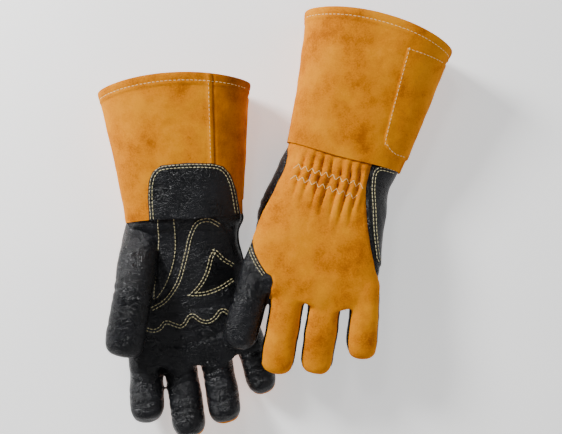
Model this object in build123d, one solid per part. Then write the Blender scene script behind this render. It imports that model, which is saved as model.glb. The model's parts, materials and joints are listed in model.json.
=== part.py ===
from build123d import *
import os

# A pair of gauntlet welding gloves, laid flat as a pair. The right glove lies palm up, the left
# glove lies palm down and its forefinger and middle finger rest over the right glove's palm edge.
# Each glove is drawn in a hand frame: x runs from the thumb side to the little finger side, the
# distance s runs from the wrist seam towards the fingertips along -y, and z is up. Millimetres.

# Leather, lining and clearances
LEATHER = 2.2          # thickness of every leather panel
PATCH = 1.3            # thickness of a reinforcing patch sewn on top
SEAM_GAP = 0.1         # glue line between a patch and the panel below it
LINING = 1.5           # thickness of the knitted lining
FIT = 0.3              # running clearance between separate pieces
LINING_GAP = 0.5       # gap between the lining and the leather around it
ELASTIC = 0.8          # thickness of the elastic tape inside the wrist
CORNER = 0.85          # corner radius of a section, as a share of its half height

# Gauntlet cuff
CUFF_LENGTH = 136.0    # from the mouth to the lower edge
CUFF_OVERLAP = 4.0     # how far the cuff's lower edge passes the wrist seam
MOUTH_HALF_WIDTH = 75.0
MOUTH_HALF_HEIGHT = 42.0
WRIST_HALF_WIDTH = 58.0
WRIST_HALF_HEIGHT = 30.0
MOUTH_SAGITTA = 10.0   # rise of the curved mouth edge at its middle
CUFF_SEAM_WRIST = 33.0   # side seam on the palm side of the cuff, x at the wrist
CUFF_SEAM_MOUTH = 41.0   # and x at the mouth

# Hand
HAND_TUCK = 14.0       # how far the hand's top edge is tucked up inside the cuff
GATHER_S = 24.0        # place of the gathered, elasticated wrist
GATHER_HALF_WIDTH = 51.5
GATHER_HALF_HEIGHT = 25.0
HEEL_S = 70.0          # place of the thumb joint along the hand
HEEL_HALF_WIDTH = 58.0
HEEL_HALF_HEIGHT = 22.5
KNUCKLE_S = 145.0      # where the hand panels end and the finger stalls begin
KNUCKLE_HALF_WIDTH = 66.0
KNUCKLE_HALF_HEIGHT = 19.0
LITTLE_STEP_X = 40.0   # the hand ends earlier on the little finger's side
LITTLE_STEP_S = 132.0
ELASTIC_WIDTH = 8.0
ELASTIC_SPAN = (-38.0, 24.0)   # the tape gathers the back between these two places
GATHER_LIFT = 1.0      # how far the gathered wrist is drawn off the table
PANEL_END = 1.0        # the lining's hand ends this far before the hand panels do

# Finger stalls: hinge x, hinge s, splay, length past the hinge, half width
FINGERS = {
    "index": (-51.0, 158.0, 0.0, 50.0, 17.0),
    "middle": (-15.2, 162.0, 6.0, 61.0, 16.5),
    "ring": (21.5, 160.0, 7.0, 52.0, 16.5),
    "little": (57.8, 145.0, 13.5, 43.0, 15.5),
}
FINGER_HALF_HEIGHT = 13.5
PALM_SETBACK = 5.0     # the palm side of a stall starts this far past its hinge
BACK_OVERLAP = 5.0     # the back of a stall starts this far before its hinge
STRIP_HALF = 4.5       # half height of the side strips between palm side and back
TIP_ROUND = 12.0       # length over which a stall closes at its tip
TIP_SHOULDER = 0.84    # share of the section left at two thirds of the tip's round
TIP_END = 0.5          # share of the section left at the very tip
ROOT_REACH = 3.0       # how far the lining of a finger reaches back into the hand

# Thumb
THUMB_HALF_WIDTH = 18.0
THUMB_HALF_HEIGHT = 13.5
THUMB_LENGTH = 67.0
THUMB_ROOT_S = 15.0
THUMB_SETBACK = 14.0   # the thumb's base ends this far before the joint
THUMB_START = 4.0      # and its stall starts this far past it
THUMB_BEND = 8.0       # the lining's two straight runs lap over this length at the joint

# How each glove lies
PALM_CLEAR = 0.4       # gap between the thumb and the palm it lies on
RIGHT_TURN = 4.3
LEFT_TURN = -15.5
LEFT_WRIST = (157.9, 58.8)   # left wrist from the right wrist
LEFT_KNUCKLE_Z = 57.0
LEFT_GATHER_Z = 37.0
RIGHT_PITCH = {"index": 19.0, "middle": 17.0, "ring": 17.0, "little": 5.0}
LEFT_PITCH = {"index": 0.0, "middle": -4.0, "ring": -10.0, "little": -10.0}
RIGHT_THUMB = {"x": -53.0, "root_x": -45.0, "root_z": 30.0, "yaw": -15.0, "pitch": -3.0}
LEFT_THUMB = {"x": -50.0, "root_x": -42.0, "root_z": 30.0, "yaw": 8.0, "pitch": 0.0}

FAR = 120.0            # larger than any section, for cutting solids
PAST_EDGE = 10.0       # how far a cutting outline runs past the edge it cuts
CUFF_LIFT = PATCH + SEAM_GAP

# Outlines on the hand, as (x, s), the same for both gloves
BACK_OUTLINE = [
    (-90, -30), (32, -30), (26, 18), (33, 49), (48, 83), (58, 103), (90, 125), (90, 160),
    (-34, 160), (-34, 131), (-42, 130), (-58, 116), (-67, 104), (-90, 98),
]
PALM_PATCH_OUTLINE = [
    (24, 10), (12, 14), (4, 26), (-1, 42), (-8, 62), (-15, 74), (-24, 84), (-36, 92), (-36, 112),
    (-24, 108), (-11, 112), (2, 103), (14, 110), (30, 103), (34, 88), (18, 85), (2, 82), (12, 70),
    (20, 54), (25, 38), (31, 30), (36, 20),
]
EDGE_PATCH_OUTLINE = [
    (31, 34), (27, 42), (22, 56), (14, 70), (7, 78), (20, 80), (36, 76), (50, 69), (90, 69),
    (90, 40), (46, 46), (38, 40),
]
EDGE_WRAP_X = 47.5     # on the back of the hand the edge patch covers only what lies past this
THUMB_STRAP_OUTLINE = [
    (-22, 8), (-8, 8), (-8, 20), (-11, 38), (-16, 56), (-24, 72), (-30, 76), (-31, 62), (-27, 42),
    (-23, 24),
]
WRIST_PATCH_OUTLINE = [
    (-28, -2), (-28, -32), (-24, -42), (-16, -46), (38, -46), (46, -42), (50, -32), (50, -2),
]
CUFF_PATCH_OUTLINE = [(27, -108), (30, -20), (38, -12), (90, -12), (90, -108)]


def section(s, half_width, half_height, z_mid, inset=0.0):
    """A rounded section of a glove across the hand at s, drawn in by inset."""
    width, height = half_width - inset, half_height - inset
    plane = Plane(origin=(0, -s, z_mid), x_dir=(1, 0, 0), z_dir=(0, -1, 0))
    return plane * RectangleRounded(2 * width, 2 * height, CORNER * min(width, height))


def body(stations, inset=0.0):
    """The solid through a list of sections, drawn in by inset all round."""
    return loft([section(*station, inset) for station in stations], ruled=True)


def upper_half(stations):
    """Everything above the middle of the sections, for splitting a body into two sides."""
    faces = []
    for s, _, _, z_mid in stations:
        plane = Plane(origin=(0, -s, z_mid + FAR / 2), x_dir=(1, 0, 0), z_dir=(0, -1, 0))
        faces.append(plane * Rectangle(2 * FAR, FAR))
    return loft(faces, ruled=True)


def prism(outline):
    """A tall prism on an outline given as (x, s)."""
    points = [(x, -s) for x, s in outline]
    face = make_face(Polyline(*points, close=True))
    return extrude(Plane.XY.offset(-FAR) * face, 3 * FAR)


def slab(s_low, s_high):
    """Everything between two places along the hand."""
    return prism([(-FAR, s_low), (FAR, s_low), (FAR, s_high), (-FAR, s_high)])


def cuff_stations():
    mouth_s = CUFF_OVERLAP - CUFF_LENGTH
    return [
        (mouth_s, MOUTH_HALF_WIDTH, MOUTH_HALF_HEIGHT, MOUTH_HALF_HEIGHT + CUFF_LIFT),
        (CUFF_OVERLAP, WRIST_HALF_WIDTH, WRIST_HALF_HEIGHT, WRIST_HALF_HEIGHT + CUFF_LIFT),
    ]


def inside_cuff(s):
    """The section that fits inside the cuff at s, with the running clearance."""
    mouth, wrist = cuff_stations()
    share = (wrist[0] - s) / (wrist[0] - mouth[0])
    width, height, z_mid = (w + (m - w) * share for w, m in zip(wrist[1:], mouth[1:]))
    room = LEATHER + FIT
    return (s, width - room, height - room, z_mid)


def hand_stations(palm_up):
    if palm_up:
        gather_z = GATHER_HALF_HEIGHT + GATHER_LIFT
        heel_z = HEEL_HALF_HEIGHT
        knuckle_z = KNUCKLE_HALF_HEIGHT
    else:
        gather_z = LEFT_GATHER_Z
        heel_z = 2 * THUMB_HALF_HEIGHT + PALM_CLEAR + HEEL_HALF_HEIGHT
        knuckle_z = LEFT_KNUCKLE_Z
    return [
        inside_cuff(-HAND_TUCK),
        inside_cuff(CUFF_OVERLAP),
        (GATHER_S, GATHER_HALF_WIDTH, GATHER_HALF_HEIGHT, gather_z),
        (HEEL_S, HEEL_HALF_WIDTH, HEEL_HALF_HEIGHT, heel_z),
        (KNUCKLE_S, KNUCKLE_HALF_WIDTH, KNUCKLE_HALF_HEIGHT, knuckle_z),
    ]


def mouth_cylinder():
    """The curved cut of the cuff's mouth, seen from above."""
    radius = (MOUTH_HALF_WIDTH ** 2 + MOUTH_SAGITTA ** 2) / (2 * MOUTH_SAGITTA)
    top_y = CUFF_LENGTH - CUFF_OVERLAP
    return Pos(0, top_y - radius, 0) * Cylinder(radius, 4 * FAR)


def overlay(stations, outline, side):
    """A patch lying on a body's outside, on one side of it, inside an outline."""
    skin = body(stations, -(SEAM_GAP + PATCH)) - body(stations, -SEAM_GAP)
    return skin & prism(outline) & side


def both_sides(top, palm_up):
    """The palm side and the back side of everything, from the part above the middle."""
    below = Box(8 * FAR, 8 * FAR, 8 * FAR) - top
    return (top, below) if palm_up else (below, top)


def cuff_pieces(palm_up):
    stations = cuff_stations()
    shell = (body(stations) - body(stations, LEATHER)) & mouth_cylinder()
    top = upper_half(stations)
    palm = shell & top if palm_up else shell - top
    back = shell - top if palm_up else shell & top
    palm_side, back_side = both_sides(top, palm_up)
    mouth_s = stations[0][0]
    gusset = prism([
        (CUFF_SEAM_MOUTH, mouth_s - PAST_EDGE), (FAR, mouth_s - PAST_EDGE),
        (FAR, CUFF_OVERLAP + PAST_EDGE), (CUFF_SEAM_WRIST, CUFF_OVERLAP + PAST_EDGE),
    ])
    return {
        "cuff_palm_panel": palm - gusset,
        "cuff_gusset": palm & gusset,
        "cuff_back_panel": back,
        "cuff_patch": overlay(stations, CUFF_PATCH_OUTLINE, back_side),
        "wrist_patch": overlay(stations, WRIST_PATCH_OUTLINE, palm_side),
    }


def little_step(margin):
    """The corner of the hand that is cut away beside the little finger's stall."""
    x, s = LITTLE_STEP_X - margin, LITTLE_STEP_S - margin
    beyond = KNUCKLE_S + 2 * PAST_EDGE
    return prism([(x, s), (FAR, s), (FAR, beyond), (x, beyond)])


def finger_place(name, z, pitch):
    x, s, splay, _, _ = FINGERS[name]
    return Pos(x, -s, z) * Rot(0, 0, splay) * Rot(-pitch, 0, 0)


def stall_body(start, length, half_width, half_height, inset):
    """A closed finger shape along -y from start to length, drawn in by inset."""
    end = length - inset
    shoulder, tip = TIP_SHOULDER, TIP_END
    stations = [
        (start, half_width, half_height, 0),
        (end - TIP_ROUND, half_width, half_height, 0),
        (end - TIP_ROUND / 3, shoulder * half_width + (1 - shoulder) * inset,
         shoulder * half_height + (1 - shoulder) * inset, 0),
        (end, tip * half_width + (1 - tip) * inset, tip * half_height + (1 - tip) * inset, 0),
    ]
    return body(stations, inset)


def stall_pieces(name, palm_up):
    """Palm side, back and side strip of one finger stall, in the stall's own frame."""
    _, _, _, length, half_width = FINGERS[name]
    outer = stall_body(-BACK_OVERLAP, length, half_width, FINGER_HALF_HEIGHT, 0)
    inner = stall_body(-BACK_OVERLAP, length, half_width, FINGER_HALF_HEIGHT, LEATHER)
    shell = outer - inner
    past_hinge = slab(PALM_SETBACK, 2 * length)
    high = Pos(0, 0, FAR / 2 + STRIP_HALF) * Box(4 * FAR, 4 * FAR, FAR)
    low = Pos(0, 0, -FAR / 2 - STRIP_HALF) * Box(4 * FAR, 4 * FAR, FAR)
    palm_block, back_block = (high, low) if palm_up else (low, high)
    palm = shell & palm_block & past_hinge
    back = shell & back_block
    strip = (shell - high - low) & past_hinge
    if name == "index":
        return {"index_wrap": palm + strip, "index_back": back}
    return {f"{name}_palm_side": palm, f"{name}_back": back, f"{name}_side_strip": strip}


def thumb_frame(thumb, palm_up):
    """The thumb's joint, its root, and the direction from root to joint."""
    heel_z = hand_stations(palm_up)[3][3]
    lean = HEEL_HALF_HEIGHT + PALM_CLEAR + THUMB_HALF_HEIGHT
    joint = Vector(thumb["x"], -HEEL_S, heel_z + lean if palm_up else heel_z - lean)
    root = Vector(thumb["root_x"], -THUMB_ROOT_S, thumb["root_z"])
    return joint, root


def thumb_base_body(thumb, palm_up, back_off, inset):
    """A straight tube from the thumb's root towards its joint, ending back_off before it."""
    joint, root = thumb_frame(thumb, palm_up)
    along = (joint - root).normalized()
    plane = Plane(origin=root, x_dir=(1, 0, 0), z_dir=along)
    width, height = THUMB_HALF_WIDTH - inset, THUMB_HALF_HEIGHT - inset
    face = plane * RectangleRounded(2 * width, 2 * height, CORNER * height)
    return extrude(face, (joint - root).length - back_off)


def thumb_place(thumb, palm_up):
    joint, _ = thumb_frame(thumb, palm_up)
    return Pos(*joint) * Rot(0, 0, thumb["yaw"]) * Rot(-thumb["pitch"], 0, 0)


def thumb_stall_pieces(palm_up):
    outer = stall_body(THUMB_START, THUMB_LENGTH, THUMB_HALF_WIDTH, THUMB_HALF_HEIGHT, 0)
    inner = stall_body(THUMB_START, THUMB_LENGTH, THUMB_HALF_WIDTH, THUMB_HALF_HEIGHT, LEATHER)
    shell = outer - inner
    high = Pos(0, 0, FAR / 2) * Box(4 * FAR, 4 * FAR, FAR)
    top, bottom = shell & high, shell - high
    front, back = (bottom, top) if palm_up else (top, bottom)
    return {"thumb_inner_side": front, "thumb_outer_side": back}


def lining_piece(palm_up, pitches, thumb):
    """One knitted glove inside the leather: a thin shell over hand, fingers and thumb."""
    stations = hand_stations(palm_up)
    end_z = stations[-1][3]
    outer_inset = LEATHER + LINING_GAP
    inner_inset = outer_inset + LINING
    cap = slab(-3 * FAR, KNUCKLE_S - PANEL_END)
    inner_cap = slab(-3 * FAR, KNUCKLE_S - PANEL_END - LINING)
    outer = (body(stations, outer_inset) & cap) - little_step(0)
    inner = (body(stations, inner_inset) & inner_cap) - little_step(LINING)
    for name, (_, hinge_s, _, length, half_width) in FINGERS.items():
        place = finger_place(name, end_z, pitches[name])
        hand_end = LITTLE_STEP_S if name == "little" else KNUCKLE_S
        reach = hinge_s - hand_end + ROOT_REACH
        tip = length - FIT
        shape = (half_width, FINGER_HALF_HEIGHT)
        outer += place * stall_body(-reach, tip, *shape, outer_inset)
        inner += place * stall_body(-reach - ROOT_REACH, tip, *shape, inner_inset)
    tip = THUMB_LENGTH - FIT
    shape = (THUMB_HALF_WIDTH, THUMB_HALF_HEIGHT)
    place = thumb_place(thumb, palm_up)
    outer += thumb_base_body(thumb, palm_up, THUMB_BEND / 2, outer_inset)
    outer += place * stall_body(-THUMB_BEND, tip, *shape, outer_inset)
    inner += thumb_base_body(thumb, palm_up, THUMB_BEND / 2, inner_inset)
    inner += place * stall_body(-THUMB_BEND, tip, *shape, inner_inset)
    leather = body(stations) - body(stations, outer_inset) - little_step(-FIT)
    thumb_hole = thumb_base_body(thumb, palm_up, THUMB_SETBACK, 0)
    return outer - inner - (leather - thumb_hole)


def hand_pieces(palm_up, thumb):
    stations = hand_stations(palm_up)
    outer = body(stations)
    shell = outer - body(stations, LEATHER) - little_step(0)
    top = upper_half(stations)
    palm_side, back_side = both_sides(top, palm_up)
    base_outer = thumb_base_body(thumb, palm_up, THUMB_SETBACK, 0)
    base_inner = thumb_base_body(thumb, palm_up, THUMB_SETBACK, LEATHER)
    back = (shell & prism(BACK_OUTLINE) & back_side) - base_outer
    palm = shell - (prism(BACK_OUTLINE) & back_side) - base_outer
    low, high = GATHER_S - ELASTIC_WIDTH / 2, GATHER_S + ELASTIC_WIDTH / 2
    left, right = ELASTIC_SPAN
    band = prism([(left, low), (right, low), (right, high), (left, high)])
    wrap = back_side & prism([(EDGE_WRAP_X, -FAR), (FAR, -FAR), (FAR, FAR), (EDGE_WRAP_X, FAR)])
    tape = body(stations, LEATHER + SEAM_GAP) - body(stations, LEATHER + SEAM_GAP + ELASTIC)
    groove = body(stations, LEATHER) - body(stations, LEATHER + 2 * SEAM_GAP + ELASTIC)
    around_base = thumb_base_body(thumb, palm_up, THUMB_SETBACK, -FIT)
    pieces = {
        "palm_panel": palm,
        "back_panel": back,
        "thumb_base": (base_outer - base_inner) - outer,
        "palm_patch": overlay(stations, PALM_PATCH_OUTLINE, palm_side),
        "edge_patch": overlay(stations, EDGE_PATCH_OUTLINE, palm_side + wrap) - around_base,
        "thumb_strap": overlay(stations, THUMB_STRAP_OUTLINE, palm_side) - around_base,
        "wrist_elastic": tape & band & back_side,
    }
    return pieces, groove & slab(low - FIT, high + FIT) & back_side


def glove(side, palm_up, pitches, thumb, place):
    """All pieces of one glove, as name: solid, in their places."""
    pieces = cuff_pieces(palm_up)
    hand, groove = hand_pieces(palm_up, thumb)
    pieces.update(hand)
    pieces["lining"] = lining_piece(palm_up, pitches, thumb) - groove
    end_z = hand_stations(palm_up)[-1][3]
    for name in FINGERS:
        spot = finger_place(name, end_z, pitches[name])
        for piece, solid in stall_pieces(name, palm_up).items():
            pieces[piece] = spot * solid
    for piece, solid in thumb_stall_pieces(palm_up).items():
        pieces[piece] = thumb_place(thumb, palm_up) * solid
    return {f"{side}_{piece}": place * solid for piece, solid in pieces.items()}


RIGHT_PLACE = Pos(0, 0, 0) * Rot(0, 0, RIGHT_TURN)
LEFT_PLACE = Pos(*LEFT_WRIST, 0) * Rot(0, 0, LEFT_TURN)

pair = {}
pair.update(glove("right", True, RIGHT_PITCH, RIGHT_THUMB, RIGHT_PLACE))
pair.update(glove("left", False, LEFT_PITCH, LEFT_THUMB, LEFT_PLACE))

# The origin is under the middle of the pair, on the surface it lies on
box = Compound(children=[Compound(piece.solids()) for piece in pair.values()]).bounding_box()
CENTRE = Vector((box.min.X + box.max.X) / 2, (box.min.Y + box.max.Y) / 2, box.min.Z)
SHIFT = Pos(-CENTRE.X, -CENTRE.Y, -CENTRE.Z)

os.makedirs("parts", exist_ok=True)
for name, piece in pair.items():
    moved = SHIFT * Compound(piece.solids())
    export_step(moved, f"parts/{name}.step")
    print(f"{name:28s} {len(moved.solids())} solid(s) {moved.volume:10.1f} mm3")
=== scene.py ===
# %% [markdown]
# # A pair of gauntlet welding gloves
# The right glove lies palm up and shows black goatskin; the left glove lies palm down and shows a
# golden suede back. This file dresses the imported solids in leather: one notebook cell a step.

# %% Load the frame
import json
import math

import bpy
import numpy as np
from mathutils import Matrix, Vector, noise
from mathutils.bvhtree import BVHTree

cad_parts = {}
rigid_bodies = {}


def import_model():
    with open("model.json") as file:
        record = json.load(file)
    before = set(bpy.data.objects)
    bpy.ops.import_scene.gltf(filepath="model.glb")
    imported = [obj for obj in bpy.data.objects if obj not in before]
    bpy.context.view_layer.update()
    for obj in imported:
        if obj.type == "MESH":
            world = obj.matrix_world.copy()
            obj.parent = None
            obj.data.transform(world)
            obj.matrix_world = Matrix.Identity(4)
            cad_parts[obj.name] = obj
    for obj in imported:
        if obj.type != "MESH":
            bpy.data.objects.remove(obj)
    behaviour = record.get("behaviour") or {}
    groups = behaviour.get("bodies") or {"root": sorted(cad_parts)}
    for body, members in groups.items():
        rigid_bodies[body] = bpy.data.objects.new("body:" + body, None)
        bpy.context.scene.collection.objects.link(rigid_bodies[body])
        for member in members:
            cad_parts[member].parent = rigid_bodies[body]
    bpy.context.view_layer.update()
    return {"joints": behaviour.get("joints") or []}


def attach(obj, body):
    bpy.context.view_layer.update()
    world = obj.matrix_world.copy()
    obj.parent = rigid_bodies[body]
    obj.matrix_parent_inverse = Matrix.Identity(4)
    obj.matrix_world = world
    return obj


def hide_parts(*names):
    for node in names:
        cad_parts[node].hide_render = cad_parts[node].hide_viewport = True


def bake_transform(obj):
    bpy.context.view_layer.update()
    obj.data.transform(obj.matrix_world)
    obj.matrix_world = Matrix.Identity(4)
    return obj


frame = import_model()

MM = 0.001             # millimetres to metres

# %% [markdown]
# ## Where each glove lies
# Every shape below is drawn in a hand frame in millimetres: x runs from the thumb side to the
# little finger side, s runs from the wrist seam to the fingertips, and z is up. The two
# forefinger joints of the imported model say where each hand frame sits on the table.

# %% Hand frames
# Hinge x and s, splay in degrees, length past the hinge and half width of every finger
HINGES = {
    "index": (-51.0, 158.0, 0.0, 50.0, 17.6),
    "middle": (-15.2, 162.0, 6.0, 61.0, 17.2),
    "ring": (21.5, 160.0, 7.0, 52.0, 16.8),
    "little": (57.8, 145.0, 13.5, 43.0, 15.8),
}
JOINTS = {joint["name"]: joint for joint in frame["joints"]}


class Hand:
    """The facts of one glove: how it lies, how its fingers bend and where its frame is."""

    def __init__(self, side, turn, palm_up, pitches, trims, profile, thumb):
        self.side = side
        self.turn = math.radians(turn)
        self.palm_up = palm_up
        self.pitches = pitches
        self.trims = trims
        self.profile = np.array(profile, float)
        self.thumb = thumb
        x, s = HINGES["index"][:2]
        hinge = np.array(JOINTS[f"{side}_index_curl"]["pos_m"]) / MM
        self.origin = hinge[:2] - self.spin(np.array([x, -s]))
        self.root_z = hinge[2]

    def spin(self, xy):
        c, s = math.cos(self.turn), math.sin(self.turn)
        x, y = xy[..., 0], xy[..., 1]
        return np.stack([c * x - s * y, s * x + c * y], axis=-1)

    def to_world(self, xsz):
        """Hand frame (x, s, z) in millimetres to the row frame in metres."""
        xsz = np.asarray(xsz, float)
        flat = self.spin(np.stack([xsz[..., 0], -xsz[..., 1]], axis=-1)) + self.origin
        return np.concatenate([flat, xsz[..., 2:3]], axis=-1) * MM


# Sections of the hand: s, middle x, half width, half height, middle z. The last list given to a
# hand is its thumb: x, s, z, half width and half height; pitches are in degrees, trims in mm.
RIGHT_PROFILE = [
    (-14, 0, 54, 25.5, 32), (0, 0, 55.3, 26.8, 31.3), (8, 0, 57.8, 27.3, 30),
    (16, -1, 54, 25.8, 27.8), (24, -1, 51.5, 24.5, 26), (45, -1, 54.5, 23.5, 24.5),
    (70, -2, 58.5, 21.5, 22.5), (95, -1.5, 62.5, 20, 20.8), (120, -1, 65, 18.5, 19.5),
    (140, 0, 66, 16.5, 19), (150, 0, 65, 14, 19),
]
LEFT_PROFILE = [
    (-14, 0, 54, 25, 32.5), (0, 0, 55.3, 26, 32.2), (8, -1, 55.2, 26, 33),
    (16, -1, 52.5, 25, 35.2), (24, -1, 51.5, 24, 38.5), (45, -1, 55, 23, 45),
    (70, -2.5, 58.5, 21.5, 50.5), (95, -2, 62.5, 20, 54), (120, -1, 65.5, 18.5, 56.5),
    (140, 0, 67, 16.5, 57.5), (150, 0, 66, 14, 57.5),
]
RIGHT = Hand(
    "right", 4.3, True, {"index": 19.0, "middle": 17.0, "ring": 17.0, "little": 5.0},
    {"index": 4.0, "middle": 1.0, "ring": 2.0, "little": 3.0}, RIGHT_PROFILE,
    [(-38, 4, 27, 19, 15), (-42, 22, 37, 19.5, 15), (-47, 48, 52, 19.5, 14.5),
     (-51, 70, 59.5, 19, 14), (-56, 92, 59.5, 19, 14), (-62, 115, 58, 19, 13.5),
     (-66.5, 132, 57, 17.5, 12.5)],
)
LEFT = Hand(
    "left", -15.5, False, {"index": 0.0, "middle": -4.0, "ring": -10.0, "little": -10.0},
    {"index": 0.0, "middle": 0.0, "ring": -2.0, "little": 0.0}, LEFT_PROFILE,
    [(-36, 4, 30, 18, 14), (-41, 22, 26, 18, 13.5), (-46, 48, 18.5, 18, 13),
     (-50, 70, 14.4, 18, 13), (-47, 92, 14.2, 18, 13), (-44, 114, 14.2, 17.5, 13),
     (-41, 134, 14.2, 16.5, 12.5)],
)
HANDS = [RIGHT, LEFT]
print("hand frame origins (mm):", [tuple(np.round(hand.origin, 1)) for hand in HANDS])

# %% [markdown]
# ## Camera, table and lights
# The camera looks straight down from 0.9 m, far enough that the fingers keep their true shape. A
# product table is plain and pale; one strong light from the upper left shows the nap of the suede,
# and weak lights opposite keep the black leather readable.

# %% Stage
EYE_HEIGHT = 0.92       # metres above the table
PLAIN_HEIGHT = 0.02     # the height at which the frame is as wide as the pair needs
FRAME_WIDTH = 0.562     # metres across the frame at that height
CENTRE_FROM_WRIST = (95.7, -2.5)   # frame centre from the right wrist, in millimetres
SENSOR = 36.0


def add_object(name, data):
    """A new object in the scene."""
    item = bpy.data.objects.new(name, data)
    bpy.context.collection.objects.link(item)
    return item


eye = (RIGHT.origin + np.array(CENTRE_FROM_WRIST)) * MM
camera_data = bpy.data.cameras.new("camera")
camera_data.sensor_width = SENSOR
camera_data.lens = SENSOR * (EYE_HEIGHT - PLAIN_HEIGHT) / FRAME_WIDTH
camera = add_object("camera", camera_data)
camera.location = (eye[0], eye[1], EYE_HEIGHT)
bpy.context.scene.camera = camera


def hex_colour(text):
    """An sRGB hex colour as linear RGBA."""
    channels = [int(text[i:i + 2], 16) / 255 for i in (1, 3, 5)]
    linear = [c / 12.92 if c <= 0.04045 else ((c + 0.055) / 1.055) ** 2.4 for c in channels]
    return (*linear, 1.0)


def add_light(name, place, size, power, target=(0, 0, 0.03)):
    data = bpy.data.lights.new(name, "AREA")
    data.size = size
    data.energy = power
    light = add_object(name, data)
    light.location = place
    aim = Vector(target) - Vector(place)
    light.rotation_euler = aim.to_track_quat("-Z", "Y").to_euler()


# Name, place and width in metres, power in watts
for name, place, size, power in (
        ("key", (-0.95, 0.75, 0.75), 0.35, 31), ("glint", (-0.25, 0.85, 1.3), 0.25, 3),
        ("fill", (1.1, 0.2, 0.9), 0.8, 3), ("low_fill", (0.1, -1.2, 0.6), 0.8, 3)):
    add_light(name, place, size, power)

SPAN = 6.0              # metres from the middle of the table to its edges
TABLE_DROP = 0.0005     # metres, so the table and the gloves never share a plane
floor_mesh = bpy.data.meshes.new("table")
floor_mesh.from_pydata(
    [(-SPAN, -SPAN, 0), (SPAN, -SPAN, 0), (SPAN, SPAN, 0), (-SPAN, SPAN, 0)], [], [(0, 1, 2, 3)])
floor = add_object("table", floor_mesh)
floor.location.z = -TABLE_DROP
print("camera over", tuple(np.round(eye, 4)), "lens", round(camera_data.lens, 1), "mm")

# %% [markdown]
# ## Materials
# Split cowhide is the underside of the hide, brushed to a nap: matt, warm and cloudy. Goatskin is
# the top grain: fine pebbles, a soft gloss where it is stretched. Each one is a small node tree on
# Object coordinates, so the grain has one size in millimetres all over the gloves.


# %% Material helpers
def set_inputs(item, values):
    for key, value in values.items():
        item.inputs[key].default_value = value


def node(tree, kind, settings=None, links=None, **attributes):
    """Adds a node, sets its inputs and attributes, and links its inputs to other outputs."""
    item = tree.nodes.new(kind)
    for key, value in attributes.items():
        setattr(item, key, value)
    set_inputs(item, settings or {})
    for key, output in (links or {}).items():
        tree.links.new(output, item.inputs[key])
    return item


def grain(tree, place, scale, detail, **more):
    """Noise on the object's own coordinates; a scale of 1000 has lumps about a millimetre wide."""
    settings = {"Scale": scale, "Detail": detail, **more}
    return node(tree, "ShaderNodeTexNoise", settings, {"Vector": place}).outputs["Fac"]


def ramp(tree, fac, stops):
    """Colours along a value; a stop is a position and an sRGB hex text or a linear colour."""
    stops = [(place, hex_colour(c) if isinstance(c, str) else c) for place, c in stops]
    item = node(tree, "ShaderNodeValToRGB", links={"Fac": fac})
    band = item.color_ramp
    band.elements[0].position, band.elements[0].color = stops[0]
    band.elements[1].position, band.elements[1].color = stops[-1]
    for position, colour in stops[1:-1]:
        band.elements.new(position).color = colour
    return item.outputs["Color"]


def new_material(name):
    material = bpy.data.materials.new(name)
    material.use_nodes = True
    tree = material.node_tree
    shader = tree.nodes["Principled BSDF"]
    place = node(tree, "ShaderNodeTexCoord").outputs["Object"]
    return material, tree, shader, place


def bump(tree, shader, height, strength, distance, below=None):
    """A bump of a given depth, stacked on another bump when there is one."""
    links = {"Height": height}
    if below is not None:
        links["Normal"] = below
    item = node(tree, "ShaderNodeBump", {"Strength": strength, "Distance": distance}, links)
    tree.links.new(item.outputs["Normal"], shader.inputs["Normal"])
    return item.outputs["Normal"]


print("material helpers ready")

# %% [markdown]
# ### Golden suede
# Two noises are added before they are coloured: wide clouds, where the nap was brushed one way or
# the other, and a fine fleck. A darker copy of the same leather makes the gusset: painted shade.


# %% Suede of split cowhide
def split_cowhide(name, light, middle, dark):
    """Brushed split hide: clouds 30 mm across, a fine fleck and a nap under half a millimetre."""
    material, tree, shader, place = new_material(name)
    brushed = grain(tree, place, 32.0, 5.0, Roughness=0.6)
    fleck = grain(tree, place, 620.0, 3.0, Roughness=0.7)
    part = node(tree, "ShaderNodeMath", {1: 0.42}, {0: fleck}, operation="MULTIPLY")
    total = node(tree, "ShaderNodeMath", {}, {0: part.outputs[0], 1: brushed}, operation="ADD")
    colour = ramp(tree, total.outputs[0], [(0.50, dark), (0.68, middle), (0.86, light)])
    tree.links.new(colour, shader.inputs["Base Color"])
    nap = grain(tree, place, 900.0, 4.0, Roughness=0.75)
    low = bump(tree, shader, grain(tree, place, 170.0, 3.0), 0.35, 0.0006)
    bump(tree, shader, nap, 0.6, 0.0004, low)
    set_inputs(shader, {"Roughness": 0.92, "Specular IOR Level": 0.08, "Sheen Weight": 0.05,
                        "Sheen Roughness": 0.5, "Sheen Tint": hex_colour("#F09A10")})
    return material


GOLD = split_cowhide("split_cowhide_gold", "#E39000", "#D27C00", "#A65800")
# The gusset's suede is the gold suede darkened: painted shade for a panel that lies in shade.
GOLD_PAINTED_SHADE = split_cowhide("split_cowhide_gusset_painted_shade", "#BE6E00", "#A85C00", "#7E4000")
print("suede:", GOLD.name, GOLD_PAINTED_SHADE.name)

# %% [markdown]
# ### Black goatskin
# The pebbles are the cells of a Voronoi pattern, cut off flat by a minimum so that only the
# grooves between them stay. Creases are noise stretched across the hand. A slow drift changes dye
# and gloss together, since worn places shine.


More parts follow.
